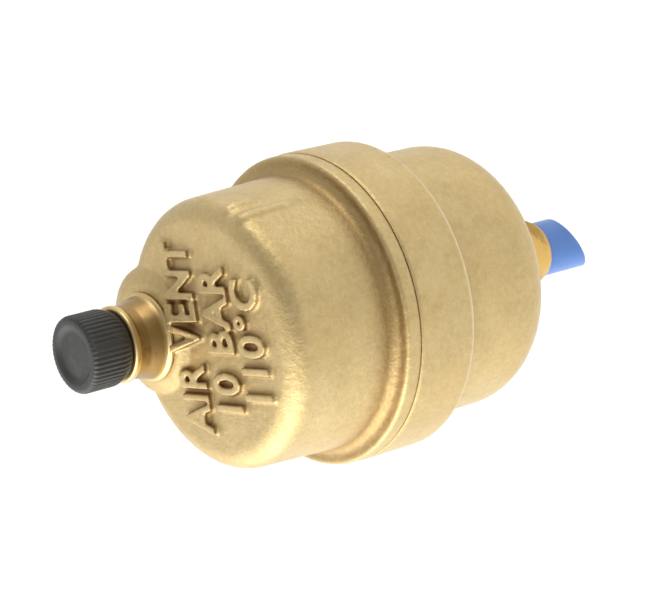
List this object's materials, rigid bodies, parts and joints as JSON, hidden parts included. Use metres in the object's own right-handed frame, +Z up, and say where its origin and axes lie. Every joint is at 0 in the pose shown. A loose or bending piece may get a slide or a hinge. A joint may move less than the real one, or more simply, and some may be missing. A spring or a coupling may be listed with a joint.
{
  "type": "automatic air vent",
  "caption": "Brass float-type automatic air vent: round chamber with offset capped nozzle and small pipe thread below.",
  "frame": {"origin": "on the inlet thread's axis, at the underside of the spanner hexagon, where the thread starts", "axes": "+Z up along the chamber's axis towards the vent cap, +Y towards the offset nozzle"},
  "size_m": [0.046, 0.046, 0.0872],
  "materials": {
    "cast_brass": "shot-blasted matt",
    "turned_brass": "machined satin",
    "black_plastic": "satin moulded",
    "blue_plastic": "satin moulded",
    "seal_rubber": "matt",
    "stainless_steel": "rolled satin",
    "white_plastic": "satin moulded"
  },
  "bodies": {
    "chamber": {"body": "cast_brass", "inlet_tongue": "blue_plastic", "body_seal": "seal_rubber", "cover": "cast_brass", "vent_nozzle": "turned_brass", "nozzle_seal": "seal_rubber", "lever_bracket": "stainless_steel", "lever_pin": "stainless_steel", "pin_clip_left": "stainless_steel", "pin_clip_right": "stainless_steel", "bracket_screw_left": "stainless_steel", "bracket_screw_right": "stainless_steel"},
    "float": {"float_cup": "white_plastic", "float_lid": "white_plastic", "float_clevis": "stainless_steel", "float_pin": "stainless_steel"},
    "valve_lever": {"lever": "stainless_steel", "seal_holder": "turned_brass", "valve_seal": "seal_rubber", "seal_clip": "stainless_steel"},
    "cap_thread": {"cap_seal": "seal_rubber"},
    "cap": {"vent_cap": "black_plastic"}
  },
  "joints": [
    {"name": "float_travel", "type": "slide", "parent": "chamber", "child": "float", "axis": [0, 0, 1], "range_m": [0, 0.00325]},
    {"name": "lever_swing", "type": "hinge", "parent": "chamber", "child": "valve_lever", "pos_m": [0, 0.0153, 0.046], "axis": [-1, 0, 0], "range_deg": [0, 12]},
    {"name": "cap_lift", "type": "slide", "parent": "chamber", "child": "cap_thread", "axis": [0, 0, 1], "range_m": [0, 0.0015]},
    {"name": "cap_turn", "type": "hinge", "parent": "cap_thread", "child": "cap", "pos_m": [0, 0.0133, 0.0613], "axis": [0, 0, 1], "range_deg": [0, 540]}
  ],
  "couplings": [
    {"joint": "lever_swing", "follows": "float_travel", "rad_per_m": 64.4},
    {"joint": "cap_turn", "follows": "cap_lift", "rad_per_m": 6283.1}
  ]
}
